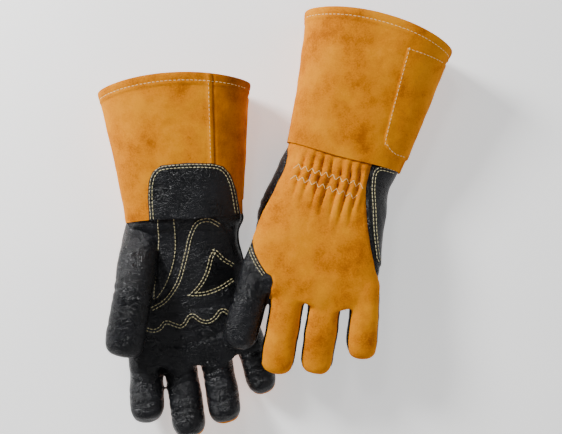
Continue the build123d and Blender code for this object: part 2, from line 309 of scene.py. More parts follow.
# %% Goatskin
def goatskin(name, colour, gloss):
    """Dyed top grain: cells about 1.3 mm across, fine creases across them, a wax finish."""
    material, tree, shader, place = new_material(name)
    drift = grain(tree, place, 45.0, 4.0)
    tone = ramp(tree, drift, [(0.35, colour), (0.75, "#111217")])
    tree.links.new(tone, shader.inputs["Base Color"])
    cells = node(tree, "ShaderNodeTexVoronoi", {"Scale": 640.0, "Randomness": 1.0},
                 {"Vector": place}, feature="DISTANCE_TO_EDGE")
    pebble = node(tree, "ShaderNodeMath", {1: 0.28}, {0: cells.outputs["Distance"]},
                  operation="MINIMUM")
    drawn = node(tree, "ShaderNodeMapping", {"Scale": (0.38, 1.0, 0.6)}, {"Vector": place})
    crease = grain(tree, drawn.outputs["Vector"], 300.0, 4.0, Distortion=0.8)
    low = bump(tree, shader, crease, 0.7, 0.0013)
    bump(tree, shader, pebble.outputs[0], 0.7, 0.0013, low)
    rough = node(tree, "ShaderNodeMapRange",
                 {"From Min": 0.3, "From Max": 0.7, "To Min": gloss - 0.09, "To Max": gloss + 0.10},
                 {"Value": drift})
    tree.links.new(rough.outputs["Result"], shader.inputs["Roughness"])
    set_inputs(shader, {"Specular IOR Level": 0.30})
    return material


BLACK = goatskin("goatskin_black", "#08090C", 0.27)
BLACK_PATCH = goatskin("goatskin_patch", "#07080B", 0.32)
print("goatskin:", BLACK.name, BLACK_PATCH.name)

# %% [markdown]
# ### Thread and fleece
# Both are plain: one noise gives the colour and the bump. The thread keeps a little shine, the
# fleece has none, only the soft sheen of loose fibres.


# %% Thread and fleece
def spun_thread(name, colour):
    """Waxed para-aramid thread: a twist of two strands, slightly shiny."""
    material, tree, shader, place = new_material(name)
    fuzz = grain(tree, place, 1800.0, 2.0)
    tree.links.new(ramp(tree, fuzz, [(0.3, colour), (0.7, "#E6DDB4")]), shader.inputs["Base Color"])
    bump(tree, shader, fuzz, 0.3, 0.0002)
    set_inputs(shader, {"Roughness": 0.6})
    return material


def fleece(name, colour, shade):
    """Napped cotton fleece: soft lumps about 2 mm across, no gloss."""
    material, tree, shader, place = new_material(name)
    lumps = grain(tree, place, 420.0, 5.0)
    tree.links.new(ramp(tree, lumps, [(0.35, shade), (0.65, colour)]), shader.inputs["Base Color"])
    bump(tree, shader, lumps, 0.8, 0.0010)
    set_inputs(shader, {"Roughness": 0.95, "Sheen Weight": 0.3})
    return material


THREAD = spun_thread("aramid_thread", "#B9AC72")
THREAD_GOLD = spun_thread("aramid_thread_gold", "#F2CF6B")
FLEECE = fleece("cotton_fleece", "#BDB6A4", "#8E8675")

print("thread and fleece:", THREAD.name, THREAD_GOLD.name, FLEECE.name)

# %% [markdown]
# ### Table and sky
# The table is nearly white and glows a little, as a light table does. The studio is bright all
# round and dim overhead, so black leather seen from above stays black while its edges catch light.

# %% Table and sky
TABLE_GLOW = 0.62
SKY_STRENGTH = 0.48

table_material, table_tree, table_shader, table_place = new_material("matt_table_laminate")
haze = grain(table_tree, table_place, 3.0, 2.0)
table_tree.links.new(
    ramp(table_tree, haze, [(0.3, "#F7F7F6"), (0.7, "#FCFCFB")]), table_shader.inputs["Base Color"])
set_inputs(table_shader, {
    "Roughness": 0.8, "Emission Color": (1, 1, 1, 1), "Emission Strength": TABLE_GLOW})
floor_mesh.materials.append(table_material)

world = bpy.data.worlds.new("studio")
world.use_nodes = True
bpy.context.scene.world = world
sky = world.node_tree
direction = node(sky, "ShaderNodeTexCoord").outputs["Generated"]
height = node(sky, "ShaderNodeSeparateXYZ", links={"Vector": direction}).outputs["Z"]
GREYS = [(0.0, 1.0), (0.45, 0.8), (0.8, 0.10), (1.0, 0.05)]   # brightness against height
glow = ramp(sky, height, [(place, (grey, grey, grey, 1)) for place, grey in GREYS])
sky.links.new(glow, sky.nodes["Background"].inputs["Color"])
set_inputs(sky.nodes["Background"], {"Strength": SKY_STRENGTH})
print("materials:", len(bpy.data.materials))

# %% [markdown]
# ## Mesh helpers
# The gloves are worked as numpy arrays: vertices with a few extra values each, and triangles. One
# function does most of the tailoring: it cuts a mesh along the line where a value passes zero,
# so a leather panel gets a smooth edge wherever its pattern says.


# %% Curves and sections
def through(at, table, column):
    """A smooth curve through a table's column against its first column."""
    xs, ys = table[:, 0], table[:, column]
    slopes = np.gradient(ys, xs)
    k = np.clip(np.searchsorted(xs, at) - 1, 0, len(xs) - 2)
    h = xs[k + 1] - xs[k]
    t = np.clip((at - xs[k]) / h, 0, 1)
    return ((2 * t**3 - 3 * t**2 + 1) * ys[k] + (t**3 - 2 * t**2 + t) * h * slopes[k]
            + (3 * t**2 - 2 * t**3) * ys[k + 1] + (t**3 - t**2) * h * slopes[k + 1])


def oval(count, power):
    """Points of a rounded oval of half size 1, with corners that grow with power."""
    angle = np.linspace(0, 2 * math.pi, count, endpoint=False)
    round_points = np.stack([np.cos(angle), np.sin(angle)], 1)
    return np.sign(round_points) * np.abs(round_points) ** (2 / power)


def smoothstep(low, high, value):
    t = np.clip((value - low) / (high - low), 0, 1)
    return t * t * (3 - 2 * t)


def hill(offset, width):
    """A smooth bump of height 1 where an offset is zero."""
    return np.exp(-((offset / width) ** 2))


def rings_to_mesh(rings):
    """A closed mesh through rings of points, with a fan at both ends."""
    count = len(rings[0])
    verts = np.concatenate(rings + [rings[0].mean(0)[None], rings[-1].mean(0)[None]])
    faces = []
    for i in range(len(rings) - 1):
        for j in range(count):
            k = (j + 1) % count
            a, b = i * count, (i + 1) * count
            faces.append((a + j, a + k, b + k, b + j))
    first, last, end = len(verts) - 2, len(verts) - 1, (len(rings) - 1) * count
    for j in range(count):
        k = (j + 1) % count
        faces.append((first, k, j))
        faces.append((last, end + j, end + k))
    return verts, faces


def mesh_object(name, verts, faces):
    mesh = bpy.data.meshes.new(name)
    mesh.from_pydata([tuple(v) for v in verts], [], [tuple(f) for f in faces])
    mesh.update()
    return add_object(name, mesh)


def arrays_of(mesh):
    """Vertices and triangles of a Blender mesh as arrays."""
    mesh.calc_loop_triangles()
    verts = np.empty(len(mesh.vertices) * 3)
    mesh.vertices.foreach_get("co", verts)
    tris = np.empty(len(mesh.loop_triangles) * 3, dtype=np.int32)
    mesh.loop_triangles.foreach_get("vertices", tris)
    return verts.reshape(-1, 3), tris.reshape(-1, 3)


print("curve helpers ready")

# %% [markdown]
# ### The knife and the form
# Melting joins overlapping shapes into one skin, relaxing rounds it off, and the knife cuts it.
# The knife splits every triangle that its line crosses, so an edge is as smooth as the line.


# %% Joining, smoothing and cutting
def melt_together(parts, voxel):
    """One closed skin round several overlapping closed meshes."""
    verts, faces, start = [], [], 0
    for part_verts, part_faces in parts:
        verts.append(part_verts)
        faces += [tuple(i + start for i in face) for face in part_faces]
        start += len(part_verts)
    item = mesh_object("melt", np.concatenate(verts), faces)
    remesh = item.modifiers.new("skin", "REMESH")
    remesh.mode = "VOXEL"
    remesh.voxel_size = voxel
    graph = bpy.context.evaluated_depsgraph_get()
    skin = bpy.data.meshes.new_from_object(item.evaluated_get(graph))
    result = arrays_of(skin)
    bpy.data.objects.remove(item)
    return result


def neighbour_sum(values, tris):
    total = np.zeros_like(values)
    for a, b in ((0, 1), (1, 2), (2, 0)):
        np.add.at(total, tris[:, a], values[tris[:, b]])
        np.add.at(total, tris[:, b], values[tris[:, a]])
    return total


def relax(verts, tris, rounds, keep=None):
    """Laplacian smoothing; keep is a weight from 0 to 1 that holds a vertex where it is."""
    degree = neighbour_sum(np.ones((len(verts), 1)), tris)
    move = 0.6 if keep is None else 0.6 * (1 - keep[:, None])
    for _ in range(rounds):
        verts = verts + move * (neighbour_sum(verts, tris) / degree - verts)
    return verts


def normals_of(verts, tris):
    cross = np.cross(verts[tris[:, 1]] - verts[tris[:, 0]], verts[tris[:, 2]] - verts[tris[:, 0]])
    normal = np.zeros_like(verts)
    for k in range(3):
        np.add.at(normal, tris[:, k], cross)
    return normal / np.maximum(np.linalg.norm(normal, axis=1, keepdims=True), 1e-12)


def cut(data, tris, value):
    """The part of a mesh where value is above zero, cut exactly along the zero line."""
    value = np.where(np.abs(value) < 1e-6, 1e-6, value)
    inside = value > 0
    count = inside[tris].sum(1)
    kept = [tris[count == 3]]
    extra, edges = [], {}

    def crossing(a, b):
        key = (a, b) if a < b else (b, a)
        if key not in edges:
            t = value[key[0]] / (value[key[0]] - value[key[1]])
            edges[key] = len(data) + len(extra)
            extra.append(data[key[0]] * (1 - t) + data[key[1]] * t)
        return edges[key]

    added = []
    for tri in tris[(count == 1) | (count == 2)]:
        flags = inside[tri]
        lone = int(np.argmax(flags)) if flags.sum() == 1 else int(np.argmin(flags))
        a, b, c = (int(tri[(lone + i) % 3]) for i in range(3))
        ab, ac = crossing(a, b), crossing(a, c)
        if flags.sum() == 1:
            added.append((a, ab, ac))
        else:
            added += [(ab, b, c), (ab, c, ac)]
    if added:
        kept.append(np.array(added, dtype=tris.dtype))
        data = np.concatenate([data, np.array(extra)])
    tris = np.concatenate(kept)
    used = np.unique(tris)
    lookup = np.full(len(data), -1)
    lookup[used] = np.arange(len(used))
    return data[used], lookup[tris]


def clouds(points, size, seed):
    """Smooth noise from -1 to 1 at points in millimetres, with lumps of one size."""
    shift = Vector((seed * 17.3, seed * 5.1, seed * 9.7))
    return np.array([noise.noise(Vector(p) / size + shift) for p in points])


print("knife ready")

# %% [markdown]
# ## The hand and its finger stalls
# A sewn glove is a bag with four tubes on it. The quickest good start is to loft the hand and the
# fingers as separate closed shapes, melt them into one skin with a voxel remesh and let the skin
# relax, as wet leather does on its form. Folds and creases are then pressed into that skin.

# %% Build the hand's skin
VOXEL = 1.5            # millimetres, the size of the skin's squares
RELAX_ROUNDS = 9
RING = 64              # points round the hand
HAND_POWER, FINGER_POWER = 2.5, 2.35   # how square the sections are
KNUCKLE_SLANT = 15.0   # the little finger's knuckle lies this far behind the others
BEND_ZONE = (-9, 14)   # a finger takes up its pitch between these distances past its hinge
HALF_HEIGHT = 14.2     # of a finger
FINGER_AIR = 0.6       # taken off a finger's half width, so neighbours don't melt together
TIP_HIGH, TIP_WIDE = (11.0, 2.2), (17.0, 2.1)   # a tip's length and power, side and top view


def hand_rings(hand):
    table, shape = hand.profile, oval(RING, HAND_POWER)
    rings = []
    for s in np.linspace(table[0, 0], table[-1, 0], 44):
        x, width, height, z = (through(s, table, column) for column in range(1, 5))
        points = np.empty((RING, 3))
        points[:, 0] = x + shape[:, 0] * width
        points[:, 2] = z + shape[:, 1] * height
        late = smoothstep(95, 146, s)
        points[:, 1] = s - late * KNUCKLE_SLANT * smoothstep(30, 62, points[:, 0])
        rings.append(points)
    return rings


def finger_line(hand, name):
    """A finger's hinge point, and the flat direction that the finger points in."""
    x, s, splay = HINGES[name][:3]
    splay = math.radians(splay)
    return np.array([x, s, hand.root_z]), np.array([math.sin(splay), math.cos(splay), 0.0])


def finger_path(hand, name):
    """Points along a finger's middle line, with the pitch that it has past its hinge."""
    hinge, along = finger_line(hand, name)
    length = HINGES[name][3] - hand.trims[name]
    pitch = math.radians(hand.pitches[name])
    reach = 34 if name != "little" else 30
    steps = np.linspace(-reach, length, 46)
    bend = pitch * smoothstep(*BEND_ZONE, steps)
    points = [hinge - reach * along]
    for k in range(1, len(steps)):
        slope = 0.5 * (bend[k] + bend[k - 1])
        forward = math.cos(slope) * along + np.array([0, 0, math.sin(slope)])
        points.append(points[-1] + (steps[k] - steps[k - 1]) * forward)
    return steps, np.array(points), bend, along


def tip_share(left, start, power):
    """How full a finger is at a distance left to its tip: round over the last start millimetres."""
    near = (start - min(left, start)) / start
    return 0.25 + 0.75 * math.sqrt(max(1 - near**power, 0.0))


def finger_rings(hand, name):
    length, width = HINGES[name][3:]
    length -= hand.trims[name]
    steps, points, bend, along = finger_path(hand, name)
    across = np.array([along[1], -along[0], 0.0])
    rings = []
    for d, point, slope in zip(steps, points, bend):
        up = np.array([0, 0, 1.0]) * math.cos(slope) - along * math.sin(slope)
        left = max(length - d, 0.0)
        shape = oval(40, FINGER_POWER) * (tip_share(left, *TIP_WIDE), tip_share(left, *TIP_HIGH))
        waist = 1 - 0.035 * math.exp(-(((d - 4) / 9) ** 2))
        waist += 0.01 * math.exp(-(((d - length * 0.62) / 16) ** 2))
        rings.append(point + shape[:, :1] * (width - FINGER_AIR) * waist * across
                     + shape[:, 1:] * HALF_HEIGHT * up)
    return rings


def hand_skin(hand):
    parts = [rings_to_mesh(hand_rings(hand))]
    parts += [rings_to_mesh(finger_rings(hand, name)) for name in HINGES]
    verts, tris = melt_together(parts, VOXEL)
    return relax(verts, tris, RELAX_ROUNDS), tris


SKINS = {hand.side: hand_skin(hand) for hand in HANDS}
for side, (skin_verts, skin_tris) in SKINS.items():
    print(side, "skin:", len(skin_verts), "vertices,", len(skin_tris), "triangles")

# %% [markdown]
# ## Where gold meets black
# The pattern is flat leather, so its lines are drawn flat as (x, s) outlines. A signed distance to
# an outline is above zero inside it. Height above the middle of a glove or finger, counted
# towards the back of the hand, tells the palm side from the back.


# %% Pattern lines
def line_distance(xs, line):
    """Distance in millimetres from points to a line through corners."""
    best = np.full(len(xs), 1e9)
    for a, b in zip(line, line[1:]):
        d = b - a
        if d @ d > 1e-9:
            t = np.clip(((xs - a) @ d) / (d @ d), 0, 1)
            best = np.minimum(best, np.hypot(*(xs - a - t[:, None] * d).T))
    return best


def inside_distance(xs, outline):
    """Signed distance in millimetres from points to a closed outline, above zero inside."""
    outline = np.array(list(outline) + [outline[0]], float)
    inside = np.zeros(len(xs), bool)
    for a, b in zip(outline, outline[1:]):
        crosses = (a[1] > xs[:, 1]) != (b[1] > xs[:, 1])
        with np.errstate(divide="ignore", invalid="ignore"):
            x_at = a[0] + (xs[:, 1] - a[1]) * (b[0] - a[0]) / (b[1] - a[1])
        inside ^= crosses & (xs[:, 0] < x_at)
    distance = line_distance(xs, outline)
    return np.where(inside, distance, -distance)


def rounded(points, per=10):
    """A smooth line through points, with a number of steps from each point to the next."""
    points = np.array(points, float)
    before, after = 2 * points[:1] - points[1:2], 2 * points[-1:] - points[-2:-1]
    ring = np.concatenate([before, points, after])
    out = []
    for p0, p1, p2, p3 in zip(ring, ring[1:], ring[2:], ring[3:]):
        for t in np.linspace(0, 1, per, endpoint=False):
            out.append(0.5 * (2 * p1 + (p2 - p0) * t + (2 * p0 - 5 * p1 + 4 * p2 - p3) * t * t
                              + (3 * p1 - p0 - 3 * p2 + p3) * t**3))
    return np.array(out + [points[-1]])


def beside(line, gap):
    """The line parallel to another at a gap to its left."""
    line = np.array(line, float)
    step = np.gradient(line, axis=0)
    step /= np.maximum(np.linalg.norm(step, axis=1, keepdims=True), 1e-9)
    return line + gap * np.stack([-step[:, 1], step[:, 0]], 1)


# The gold back, past the fingertips of middle, ring and little finger; the forefinger is black
GOLD_BACK = [
    (-90, -40), (33, -40), (31, -12), (27, 6), (27, 24), (31, 42), (38, 62), (48, 84), (58, 102),
    (72, 116), (120, 130), (120, 280), (-34.5, 280), (-34.5, 150), (-34.5, 137), (-37.5, 131.5),
    (-43, 130), (-50, 124), (-58.6, 115), (-66, 104), (-90, 97),
]
SEAM_RISE = 5.5        # the black side strips of a finger reach this far above its middle

SWOOP = [(36, 10), (28, 5), (18, 5), (10, 10), (3, 23), (-2, 39), (-9.5, 59.5), (-16.5, 71),
         (-26, 81), (-38, 87)]
WAVE = [(-48, 111), (-41, 114), (-34, 114), (-28, 111), (-24.2, 107), (-18, 109.5), (-11, 112),
        (-4.5, 109), (1, 102), (6, 106), (12, 109), (19, 109), (26, 105), (31, 99.5), (35, 102)]
FIN_LOW = [(27, 35), (22, 43), (17, 57), (9, 69), (-3, 80)]
FIN_BASE = [(-3, 80), (6, 81.5), (18, 81), (32, 77), (45, 70)]
FIN_TOP = [(27, 35), (32, 37), (38, 44), (46, 50)]
PALM_PATCH = list(rounded(SWOOP)) + [(-45, 90), (-49, 100)] + list(rounded(WAVE)) + [
    (43, 96), (48, 80), (47, 55), (45, 30), (41, 16)]
FIN_PATCH = (list(rounded(FIN_LOW)) + list(rounded(FIN_BASE)) + [(90, 66), (90, 52), (46, 50)]
             + list(rounded(FIN_TOP[::-1])))
THUMB_STRAP = [(-22, -10), (-24.4, 5), (-25.5, 22), (-29.5, 46), (-34, 67), (-36, 80), (-30, 80),
               (-22, 70), (-14, 55), (-8.2, 37), (-6.2, 15), (-6.2, -10)]
EDGE_WRAP = [(29.5, 12), (31.5, 6), (37, 2), (60, 0), (95, 0), (95, 97), (61, 97), (53, 88),
             (44, 66), (37, 44), (31.5, 26)]
print("pattern lines ready")

# %% [markdown]
# ## Pressing folds into the skin
# Leather keeps the marks of the hand: soft lumps everywhere, creases where fingers bend, and
# puckers where elastic tape pulls the wrist in. Each mark is one smooth function of the place on
# the hand, added along the surface normal.


# %% Fields and folds
FINGERS = list(HINGES)
ROOT_REACH = 14.0      # a finger's leather starts this far before its hinge
HAND_FIELD = 6         # column of the skin's data that is above zero on the hand proper


def past_hinge(name, xs):
    """How far pattern points lie past a finger's hinge, and how far to the side of its line."""
    x, s, splay = HINGES[name][:3]
    splay = math.radians(splay)
    dx, ds = xs[:, 0] - x, xs[:, 1] - s
    return dx * math.sin(splay) + ds * math.cos(splay), dx * math.cos(splay) - ds * math.sin(splay)


def locate(hand, verts):
    """Finger fields, nearest finger, distance past its hinge, and height towards the back."""
    lateral, along, height = [], [], []
    for name in FINGERS:
        past, aside = past_hinge(name, verts)
        points = finger_path(hand, name)[1]
        lateral.append(np.abs(aside))
        along.append(past)
        height.append(verts[:, 2] - np.interp(past, past_hinge(name, points)[0], points[:, 2]))
    lateral, along, height = np.array(lateral), np.array(along), np.array(height)
    fields = []
    for k in range(len(FINGERS)):
        others = np.min(np.delete(lateral, k, axis=0), axis=0)
        fields.append(np.minimum(along[k] + ROOT_REACH, 0.5 * (others - lateral[k])))
    nearest = np.argmin(lateral, axis=0)
    pick = nearest, np.arange(len(verts))
    table = hand.profile
    middle = through(np.clip(verts[:, 1], table[0, 0], table[-1, 0]), table, 4)
    mix = smoothstep(-24, -6, along[pick])
    up = (verts[:, 2] - middle) * (1 - mix) + height[pick] * mix
    return np.array(fields), nearest, along[pick], -up if hand.palm_up else up


PUCKER, PUCKER_PITCH = 5.0, 9.3        # depth and width of a fold at the wrist, in millimetres
ELASTIC_S, ELASTIC_ROWS = 30, (25, 36)  # where the tape lies, and its two rows of stitches


def gathers(verts, back):
    """Puckers along the hand where two rows of elastic stitching draw the wrist in."""
    x, s = verts[:, 0], verts[:, 1]
    away = s - ELASTIC_S
    sway = clouds(np.stack([x * 0.25, s, 0 * s], 1), 22.0, 3) * 2.4
    across = (x + sway) * (1 - 0.0022 * away) / PUCKER_PITCH + 40
    fold = np.floor(across).astype(int)
    dice = np.random.default_rng(8)
    strength = dice.uniform(0.55, 1.2, 90)
    upper, lower = dice.uniform(12, 34, 90), dice.uniform(14, 26, 90)
    reach = np.where(away > 0, upper[fold], lower[fold])
    envelope = np.exp(-(np.maximum(np.abs(away) - 5, 0) / reach) ** 2 * 1.6)
    ridge = np.abs(np.sin(math.pi * across)) ** 0.7 - 0.55
    pinch = 1 - 0.45 * sum(hill(s - row, 2.2) for row in ELASTIC_ROWS)
    mask = smoothstep(-50, -40, x) * (1 - smoothstep(22, 28, x)) * smoothstep(2, 8, back)
    return PUCKER * ridge * strength[fold] * envelope * pinch * mask


# Creases across a finger: millimetres past the hinge, share of its length, depth, half width
FINGER_CREASES = [(-4, 0, 1.3, 1.9), (3.5, 0, 1.2, 1.7), (0, 0.30, 0.5, 1.4), (0, 0.47, 1.1, 1.8),
                  (0, 0.57, 0.8, 1.5), (0, 0.80, 0.4, 1.6)]
# Creases across the palm: line, depth, half width
PALM_CREASES = [([(-30, 96), (-8, 95), (14, 92), (34, 90)], 0.6, 3.0),
                ([(-36, 126), (-14, 127), (8, 124), (30, 118), (46, 112)], 1.0, 2.6),
                ([(-52, 14), (-30, 17), (0, 15), (34, 18), (52, 14)], 0.9, 2.4)]
SEAM_DEPTH, SEAM_WIDTH = 1.25, 1.5


def shaped_skin(hand):
    """The skin with its folds, as one array of values a vertex and a dictionary of its columns."""
    verts, tris = SKINS[hand.side]
    fields, nearest, along, back = locate(hand, verts)
    xs = verts[:, :2]
    lengths = np.array([HINGES[name][3] - hand.trims[name] for name in FINGERS])[nearest]
    threshold = SEAM_RISE * smoothstep(-34, -14, along)
    threshold -= (SEAM_RISE + 4.5) * smoothstep(lengths - 13, lengths - 1, along) * (nearest > 0)
    gold = np.minimum(inside_distance(xs, GOLD_BACK), (back - threshold) * 1.1)
    normal = normals_of(verts, tris)
    swell = 1.15 * clouds(verts, 27.0, 1 + hand.palm_up) + 0.45 * clouds(verts, 11.0, 5)
    swell += 0.18 * clouds(verts, 5.5, 6)
    swell *= smoothstep(-8, 6, verts[:, 1])
    swell += gathers(verts, back)
    swell -= SEAM_DEPTH * hill(gold, SEAM_WIDTH) * smoothstep(0, 8, verts[:, 1])
    palm = smoothstep(0, 5, -back)
    for k, name in enumerate(FINGERS):
        on_finger = hill(np.maximum(-fields[k], 0), 2) * palm
        for offset, share, depth, spread in FINGER_CREASES:
            place = offset + share * HINGES[name][3]
            wave = 1.3 * np.sin(xs[:, 0] * 0.23 + place)
            swell -= depth * hill(along - place + wave, spread) * on_finger
    for line, depth, spread in PALM_CREASES:
        swell -= palm * (depth * hill(line_distance(xs, rounded(line)), spread))
    moved = verts + normal * swell[:, None]
    columns = {name: HAND_FIELD + 1 + k for k, name in enumerate(FINGERS)}
    columns.update(gold=11, back=12)
    data = np.column_stack([moved, normals_of(moved, tris), -fields.max(axis=0),
                            fields.T, gold, back])
    return data, tris, columns


SHAPED = {hand.side: shaped_skin(hand) for hand in HANDS}
print("folds pressed:", {side: len(item[0]) for side, item in SHAPED.items()})

# %% [markdown]
# ## Cutting and thickening the leather
# A panel is the skin where a few fields are above zero, given a thickness towards the inside. It
# becomes a closed shell: outer face, inner face and a rim round every edge.


# %% Panels
def shell(points, normals, tris, thickness):
    """A closed shell from a surface: its inner face lies a thickness below it."""
    count = len(points)
    edges = np.concatenate([tris[:, [0, 1]], tris[:, [1, 2]], tris[:, [2, 0]]]).astype(np.int64)
    key = edges[:, 0] * count + edges[:, 1]
    back_key = edges[:, 1] * count + edges[:, 0]
    rim = edges[~np.isin(key, back_key)]
    a, b = rim[:, 0], rim[:, 1]
    sides = np.concatenate([np.stack([b, a, a + count], 1), np.stack([b, a + count, b + count], 1)])
    verts = np.concatenate([points, points - normals * thickness])
    return verts, np.concatenate([tris, tris[:, ::-1] + count, sides])


SHARP_EDGE = math.radians(55)


def add_mesh(name, world_points, tris, material):
    mesh = bpy.data.meshes.new(name)
    mesh.vertices.add(len(world_points))
    mesh.vertices.foreach_set("co", np.ascontiguousarray(world_points, dtype=np.float32).ravel())
    mesh.loops.add(len(tris) * 3)
    mesh.loops.foreach_set("vertex_index", np.ascontiguousarray(tris, dtype=np.int32).ravel())
    mesh.polygons.add(len(tris))
    mesh.polygons.foreach_set("loop_start", np.arange(0, len(tris) * 3, 3, dtype=np.int32))
    mesh.update(calc_edges=True)
    mesh.validate()
    mesh.shade_smooth()
    mesh.set_sharp_from_angle(angle=SHARP_EDGE)
    mesh.materials.append(material)
    return add_object(name, mesh)


HAND_LEATHER, CUFF_LEATHER, PATCH_LEATHER, CUFF_PATCH_LEATHER = 1.7, 1.9, 0.8, 0.9   # mm thick
EDGE_TURN = 1.5        # a patch rises to its full height over this distance from its edge


def panel(hand, name, material, source, chosen, thickness=HAND_LEATHER, lift=None, replaces=()):
    """A leather panel: the part of a source where every chosen (column, sign, level) holds."""
    data, tris = source
    for column, sign, level in chosen:
        if len(tris):
            data, tris = cut(data, tris, sign * (data[:, column] - level))
    normals = data[:, 3:6] / np.maximum(np.linalg.norm(data[:, 3:6], axis=1, keepdims=True), 1e-9)
    points = data[:, :3]
    if lift is not None:
        edge, rise = lift
        up = 0.25 + rise * smoothstep(0, EDGE_TURN, data[:, edge])
        points = points + normals * up[:, None]
    verts, faces = shell(points, normals, tris, thickness)
    item = add_mesh(name, hand.to_world(verts), faces[:, ::-1], material)
    if replaces:
        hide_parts(*replaces)
    return item


OPEN_AT = -12.0        # the hand's leather is open this far above the wrist seam
X_COLUMN, S_COLUMN = 0, 1
FINGER_BEND, THUMB_BEND = 12.0, 13.0   # a strip this far before and after a hinge, which bend_over works out but does not use


def bend_over(hand, item, name, hinge, along, strip):
    """Bakes a piece's placement into its mesh; the strip across the hinge is worked out but not
    used, so the leather does not bend.
    """
    start, end = hand.to_world(hinge - strip * along), hand.to_world(hinge + strip * along)
    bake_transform(item)


for hand in HANDS:
    side = hand.side
    data, tris, columns = SHAPED[side]
    whole, gold = (data, tris), columns["gold"]
    base = [(HAND_FIELD, 1, 0.0), (S_COLUMN, 1, OPEN_AT)]
    for part, material, sign in (("palm", BLACK, -1), ("back", GOLD, 1)):
        piece = panel(hand, f"{side}_{part}_leather", material, whole, base + [(gold, sign, 0.0)],
                      replaces=[f"{side}_{part}_panel"])
        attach(piece, f"{side}_hand")
    for name in FINGERS:
        on_finger, top = (columns[name], 1, 0.0), f"{side}_{name}"
        if name == "index":
            pieces = [panel(hand, f"{top}_leather", BLACK, whole, [on_finger],
                            replaces=[f"{top}_wrap", f"{top}_back"])]
        else:
            pieces = [panel(hand, f"{top}_leather", BLACK, whole, [on_finger, (gold, -1, 0.0)],
                            replaces=[f"{top}_palm_side", f"{top}_side_strip"]),
                      panel(hand, f"{top}_back_leather", GOLD, whole, [on_finger, (gold, 1, 0.0)],
                            replaces=[f"{top}_back"])]
        for piece in pieces:
            bend_over(hand, piece, name, *finger_line(hand, name), FINGER_BEND)

# %% [markdown]
# ## Patches sewn on the palm
# A patch follows the panel below it, so it is a copy of the skin inside the patch's outline,
# lifted by its own thickness. The lift fades out over the last millimetre and a half, which
# gives the turned edge of real leather.

# %% Palm patches
PATCH_RISE = 1.0


def add_patch(hand, name, outline, on_palm, extra, replaces):
    """A patch inside an outline, where every extra (column, sign, level) holds as well."""
    data, tris, columns = SHAPED[hand.side]
    flat = inside_distance(data[:, :2], outline)
    toward = -data[:, columns["back"]] if on_palm else data[:, columns["back"]]
    edge = np.minimum(flat, toward + 1.0)
    for column, sign, level in extra:
        edge = np.minimum(edge, sign * (data[:, column] - level))
    source = (np.column_stack([data, edge]), tris)
    item = panel(hand, name, BLACK_PATCH, source, [(data.shape[1], 1, 0.0)],
                 thickness=PATCH_LEATHER, lift=(data.shape[1], PATCH_RISE), replaces=replaces)
    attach(item, f"{hand.side}_hand")


# Piece, outline, whether it lies on the palm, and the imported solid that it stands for
HAND_PATCHES = [
    ("palm_swoop", PALM_PATCH, True, "palm_patch"), ("palm_fin", FIN_PATCH, True, "edge_patch"),
    ("edge_wrap", EDGE_WRAP, False, "edge_patch"),
    ("thumb_strap_leather", THUMB_STRAP, True, "thumb_strap"),
]
for hand in HANDS:
    side = hand.side
    off_gold = [(SHAPED[side][2]["gold"], -1, -2.5), (HAND_FIELD, 1, 1.0)]
    for name, outline, on_palm, solid in HAND_PATCHES:
        add_patch(hand, f"{side}_{name}", outline, on_palm, off_gold, [f"{side}_{solid}"])
print("patches on each hand:", len(HAND_PATCHES))

# %% [markdown]
# ## The thumbs
# Each thumb is one more tube. It is kept out of the melted skin, because it lies against the palm
# with hardly a gap. It leaves the hand at the wrist and bends at its own joint.


# %% Thumb tubes
THUMB_VOXEL, THUMB_RELAX = 1.3, 6
THUMB_TIP = 13.0       # length of the rounded tip
THUMB_START = 2.0      # the tube is open this near its root
THUMB_CREASES = [(-8, 0.6), (2, 0.9), (11, 0.5), (33, 0.5)]   # millimetres past the joint, depth
JOINT_ROW = 3          # the row of the thumb's table where it bends


